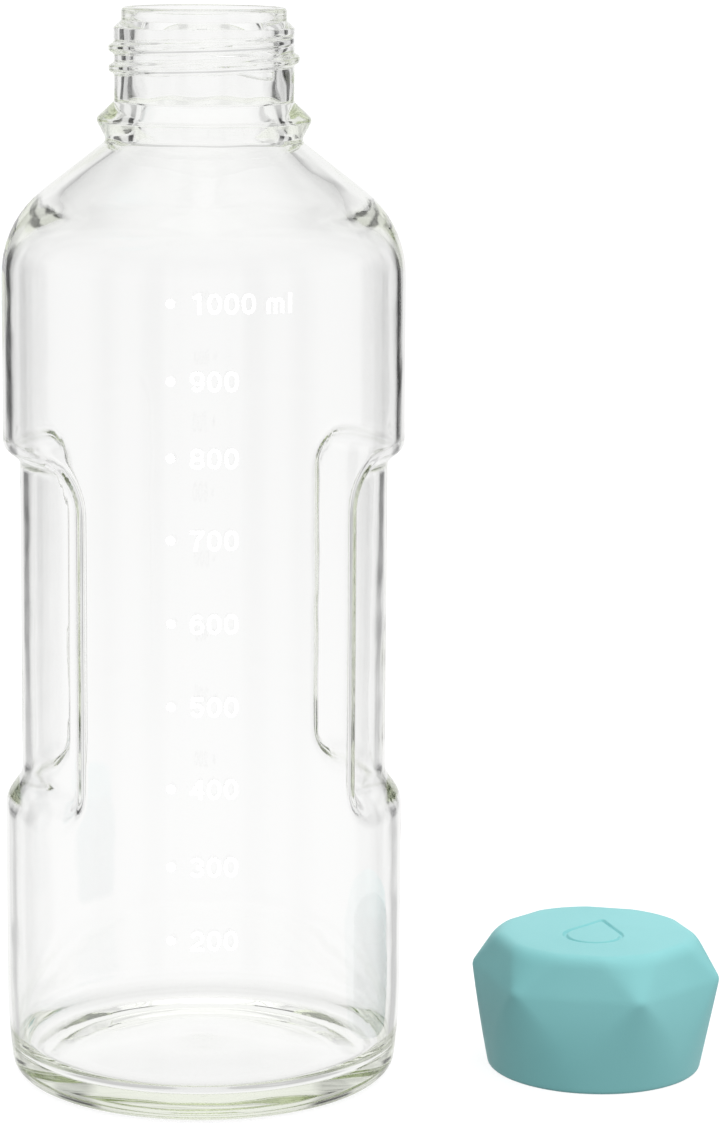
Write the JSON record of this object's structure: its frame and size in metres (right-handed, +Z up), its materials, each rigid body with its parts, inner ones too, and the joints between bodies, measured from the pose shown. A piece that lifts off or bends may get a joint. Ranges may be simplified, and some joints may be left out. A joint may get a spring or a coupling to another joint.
{
  "type": "glass water bottle",
  "caption": "Clear glass one-litre water bottle with grip recesses, a printed volume scale and a six-sided plastic screw cap standing beside it.",
  "frame": {"origin": "centre of the ring that the bottle stands on", "axes": "+Z up along the bottle's axis, -Y towards the front with the printed scale, the cap stands on the +X side"},
  "size_m": [0.1655, 0.0913, 0.2452],
  "materials": {
    "clear_glass": "clear, smooth, slightly green at its edges",
    "white_enamel": "white enamel fired on to the glass, satin",
    "cap_plastic": "light turquoise, soft matte, very fine moulded grain",
    "liner_plastic": "natural white polypropylene, satin",
    "seal_silicone": "translucent white silicone"
  },
  "bodies": {
    "bottle": {"bottle_glass": "clear_glass", "scale_dots": "white_enamel", "scale_numerals": "white_enamel"},
    "seal": {"cap_seal": "seal_silicone"},
    "cap": {"cap_shell": "cap_plastic", "cap_liner": "liner_plastic"}
  },
  "joints": [
    {"name": "cap_lift", "type": "slide", "parent": "bottle", "child": "seal", "axis": [0, 0, 1], "range_m": [0, 0.25]},
    {"name": "cap_turn", "type": "hinge", "parent": "seal", "child": "cap", "pos_m": [0.0915, 0, 0.01595], "axis": [0, 0, 1], "continuous": true}
  ]
}
